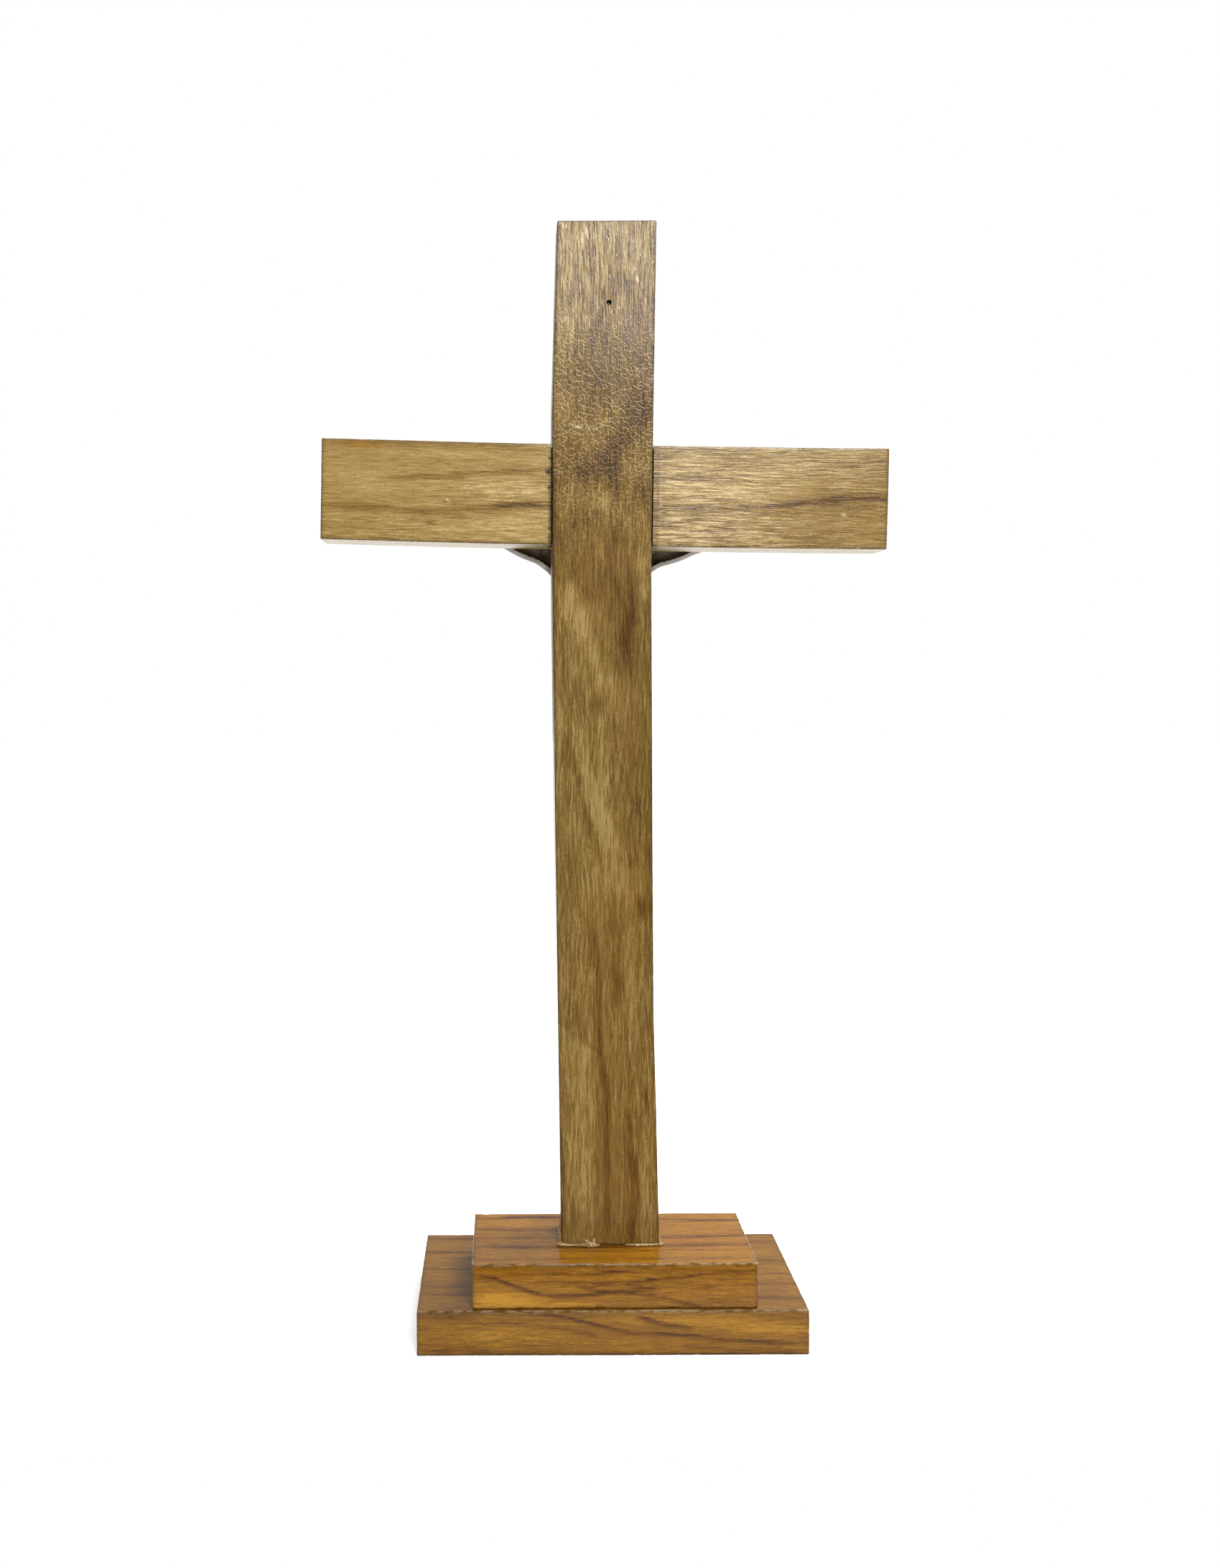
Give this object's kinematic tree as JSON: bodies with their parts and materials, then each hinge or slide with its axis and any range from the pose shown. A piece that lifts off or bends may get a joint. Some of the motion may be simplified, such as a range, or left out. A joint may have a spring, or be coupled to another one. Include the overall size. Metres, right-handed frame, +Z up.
{
  "type": "standing crucifix",
  "caption": "Standing table crucifix: half-lapped wooden cross on a stepped two-board base, with a hollow metal figure and a blank scroll nailed to the front.",
  "frame": {"origin": "on the floor, midway along the crossbar and midway front to back of the base", "axes": "+Z up, X along the crossbar, the figure on the front facing -Y"},
  "size_m": [0.1548, 0.0498, 0.305],
  "materials": {
    "base_lower_wood": "olive wood, gloss lacquer",
    "base_upper_wood": "olive wood, gloss lacquer",
    "upright_wood": "olive wood, gloss lacquer",
    "crossbar_wood": "olive wood, gloss lacquer",
    "silver_casting": "silver-tone plated die casting",
    "scroll_metal": "silver-tone plated die casting",
    "nail_steel": "bright nickel-plated wire nail",
    "screw_steel": "yellow zinc-plated screw",
    "clear_glue": "clear dried glue, glossy"
  },
  "bodies": {
    "root": {"base_lower_tier": "base_lower_wood", "base_upper_tier": "base_upper_wood", "upright": "upright_wood", "crossbar": "crossbar_wood", "corpus": "silver_casting", "hand_nail_left": "nail_steel", "hand_nail_right": "nail_steel", "feet_nail": "nail_steel", "titulus_plate": "scroll_metal", "titulus_nail": "nail_steel", "foot_screw_left": "screw_steel", "foot_screw_right": "screw_steel", "glue_bead": "clear_glue"}
  },
  "joints": []
}
